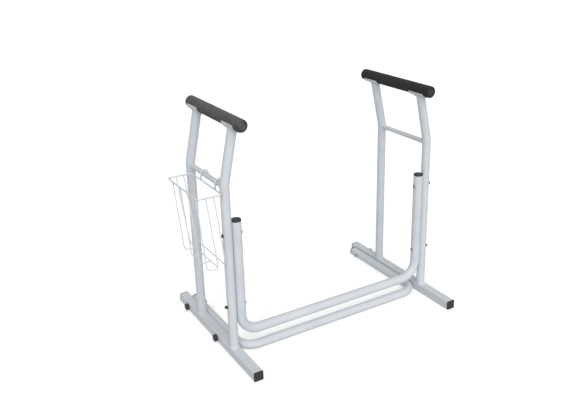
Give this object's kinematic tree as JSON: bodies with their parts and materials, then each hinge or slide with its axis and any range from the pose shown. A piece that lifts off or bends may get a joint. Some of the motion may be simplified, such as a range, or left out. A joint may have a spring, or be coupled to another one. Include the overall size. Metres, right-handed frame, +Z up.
{
  "type": "toilet safety frame",
  "caption": "Free-standing tube frame that straddles a toilet, with a padded armrest on each side, bent tubes joining the sides at the front and a wire magazine rack hooked on one side.",
  "frame": {"origin": "on the floor under the middle of the whole object's box, the rack included, so the middle between the side frames is 31.4 mm to its +X side", "axes": "+X to the right for somebody facing the frame's front, +Y from the front towards the wall behind the toilet, +Z up"},
  "size_m": [0.766, 0.498, 0.6718],
  "materials": {
    "powder_coat": "semi-gloss white powder coat",
    "wire_coat": "gloss white dipped coating",
    "grip": "matt dark grey foam skin",
    "black_plastic": "satin black moulding",
    "zinc_steel": "bright zinc plate"
  },
  "bodies": {
    "frame": {"armrest_core_left": "zinc_steel", "armrest_core_right": "zinc_steel", "armrest_grip_left": "grip", "armrest_grip_right": "grip", "armrest_plug_front_left": "black_plastic", "armrest_plug_front_right": "black_plastic", "armrest_plug_rear_left": "black_plastic", "armrest_plug_rear_right": "black_plastic", "armrest_screw_front_left": "zinc_steel", "armrest_screw_front_right": "zinc_steel", "armrest_screw_rear_left": "zinc_steel", "armrest_screw_rear_right": "zinc_steel", "base_cap_front_left": "black_plastic", "base_cap_front_right": "black_plastic", "base_cap_rear_left": "black_plastic", "base_cap_rear_right": "black_plastic", "base_tube_left": "powder_coat", "base_tube_right": "powder_coat", "bolt_base_front_left": "zinc_steel", "bolt_base_front_right": "zinc_steel", "bolt_base_rear_left": "zinc_steel", "bolt_base_rear_right": "zinc_steel", "bolt_post_lower_left": "zinc_steel", "bolt_post_lower_right": "zinc_steel", "bolt_post_upper_left": "zinc_steel", "bolt_post_upper_right": "zinc_steel", "cap_nut_base_front_left": "black_plastic", "cap_nut_base_front_right": "black_plastic", "cap_nut_base_rear_left": "black_plastic", "cap_nut_base_rear_right": "black_plastic", "cap_nut_post_lower_left": "black_plastic", "cap_nut_post_lower_right": "black_plastic", "cap_nut_post_upper_left": "black_plastic", "cap_nut_post_upper_right": "zinc_steel", "cross_rail_left": "powder_coat", "cross_rail_right": "powder_coat", "front_tube_lower": "powder_coat", "front_tube_upper": "powder_coat", "lower_tube_cap_left": "black_plastic", "lower_tube_cap_right": "black_plastic", "post_front_left": "powder_coat", "post_front_right": "powder_coat", "post_rear_left": "powder_coat", "post_rear_right": "powder_coat", "saddle_front_left": "powder_coat", "saddle_front_right": "powder_coat", "saddle_rear_left": "powder_coat", "saddle_rear_right": "powder_coat", "upper_tube_cap_left": "black_plastic", "upper_tube_cap_right": "black_plastic"},
    "rack": {"rack_hook_front": "wire_coat", "rack_hook_rear": "wire_coat", "rack_hoop_inner": "wire_coat", "rack_hoop_outer": "wire_coat", "rack_rim": "wire_coat", "rack_side_wire_1": "wire_coat", "rack_side_wire_2": "wire_coat", "rack_side_wire_3": "wire_coat", "rack_side_wire_4": "wire_coat"}
  },
  "joints": [
    {"name": "rack_swing", "type": "hinge", "parent": "frame", "child": "rack", "pos_m": [-0.29761, 0, 0.4915], "axis": [0, 1, 0], "range_deg": [0, 60]}
  ]
}
